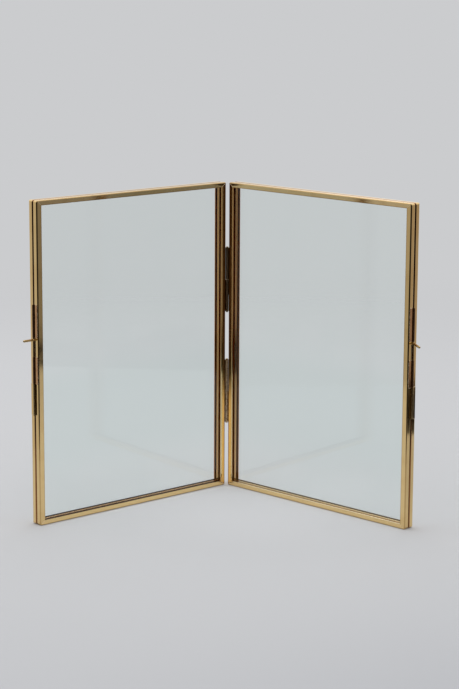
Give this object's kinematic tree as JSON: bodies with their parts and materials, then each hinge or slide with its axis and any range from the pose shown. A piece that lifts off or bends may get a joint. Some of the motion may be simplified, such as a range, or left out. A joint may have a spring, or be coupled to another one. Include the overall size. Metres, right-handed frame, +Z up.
{
  "type": "hinged double photo frame",
  "caption": "Free-standing hinged double photo frame: brass-edged glass panels that fold like a book, each with a back that swings open for a picture and closes with a slide bolt.",
  "frame": {"origin": "on the surface that the frame stands on, under the middle of its box at rest", "axes": "+Z up; +X across the front, from the left panel to the right one; +Y from the open side towards the fold"},
  "size_m": [0.2974, 0.1432, 0.25],
  "materials": {
    "frame_brass": "polished folded sheet with fine drawn lines",
    "hinge_brass": "polished, darker at the solder",
    "pin_brass": "drawn wire, polished",
    "pane_glass": "clear float glass"
  },
  "bodies": {
    "left_front": {"left_front_bottom_rail": "frame_brass", "left_front_top_rail": "frame_brass", "left_front_inner_stile": "frame_brass", "left_front_outer_stile": "frame_brass", "left_front_glass": "pane_glass", "left_upper_back_hinge_strap": "hinge_brass", "left_upper_back_hinge_pin": "pin_brass", "upper_fold_hinge_left_leaf": "hinge_brass", "left_lower_back_hinge_strap": "hinge_brass", "left_lower_back_hinge_pin": "pin_brass", "lower_fold_hinge_left_leaf": "hinge_brass", "left_bolt_upper_guide": "hinge_brass", "left_bolt_lower_guide": "hinge_brass", "upper_fold_hinge_pin": "pin_brass", "lower_fold_hinge_pin": "pin_brass"},
    "left_back": {"left_back_bottom_rail": "frame_brass", "left_back_top_rail": "frame_brass", "left_back_inner_stile": "frame_brass", "left_back_outer_stile": "frame_brass", "left_back_glass": "pane_glass", "left_upper_back_hinge_leaf": "hinge_brass", "left_lower_back_hinge_leaf": "hinge_brass", "left_bolt_keeper": "hinge_brass"},
    "left_bolt": {"left_slide_bolt": "pin_brass"},
    "right_front": {"right_front_bottom_rail": "frame_brass", "right_front_top_rail": "frame_brass", "right_front_inner_stile": "frame_brass", "right_front_outer_stile": "frame_brass", "right_front_glass": "pane_glass", "right_upper_back_hinge_strap": "hinge_brass", "right_upper_back_hinge_pin": "pin_brass", "upper_fold_hinge_right_leaf": "hinge_brass", "right_lower_back_hinge_strap": "hinge_brass", "right_lower_back_hinge_pin": "pin_brass", "lower_fold_hinge_right_leaf": "hinge_brass", "right_bolt_upper_guide": "hinge_brass", "right_bolt_lower_guide": "hinge_brass"},
    "right_back": {"right_back_bottom_rail": "frame_brass", "right_back_top_rail": "frame_brass", "right_back_inner_stile": "frame_brass", "right_back_outer_stile": "frame_brass", "right_back_glass": "pane_glass", "right_upper_back_hinge_leaf": "hinge_brass", "right_lower_back_hinge_leaf": "hinge_brass", "right_bolt_keeper": "hinge_brass"},
    "right_bolt": {"right_slide_bolt": "pin_brass"}
  },
  "joints": [
    {"name": "fold", "type": "hinge", "parent": "left_front", "child": "right_front", "pos_m": [0.00122, 0.06306, 0], "axis": [0, 0, 1], "range_deg": [-94, 86]},
    {"name": "left_back_door", "type": "hinge", "parent": "left_front", "child": "left_back", "pos_m": [-0.00747, 0.07041, 0], "axis": [0, 0, -1], "range_deg": [0, 90]},
    {"name": "right_back_door", "type": "hinge", "parent": "right_front", "child": "right_back", "pos_m": [0.00992, 0.07041, 0], "axis": [0, 0, 1], "range_deg": [0, 90]},
    {"name": "left_bolt_slide", "type": "slide", "parent": "left_front", "child": "left_bolt", "axis": [0, 0, -1], "range_m": [0, 0.012]},
    {"name": "right_bolt_slide", "type": "slide", "parent": "right_front", "child": "right_bolt", "axis": [0, 0, -1], "range_m": [0, 0.012]}
  ]
}
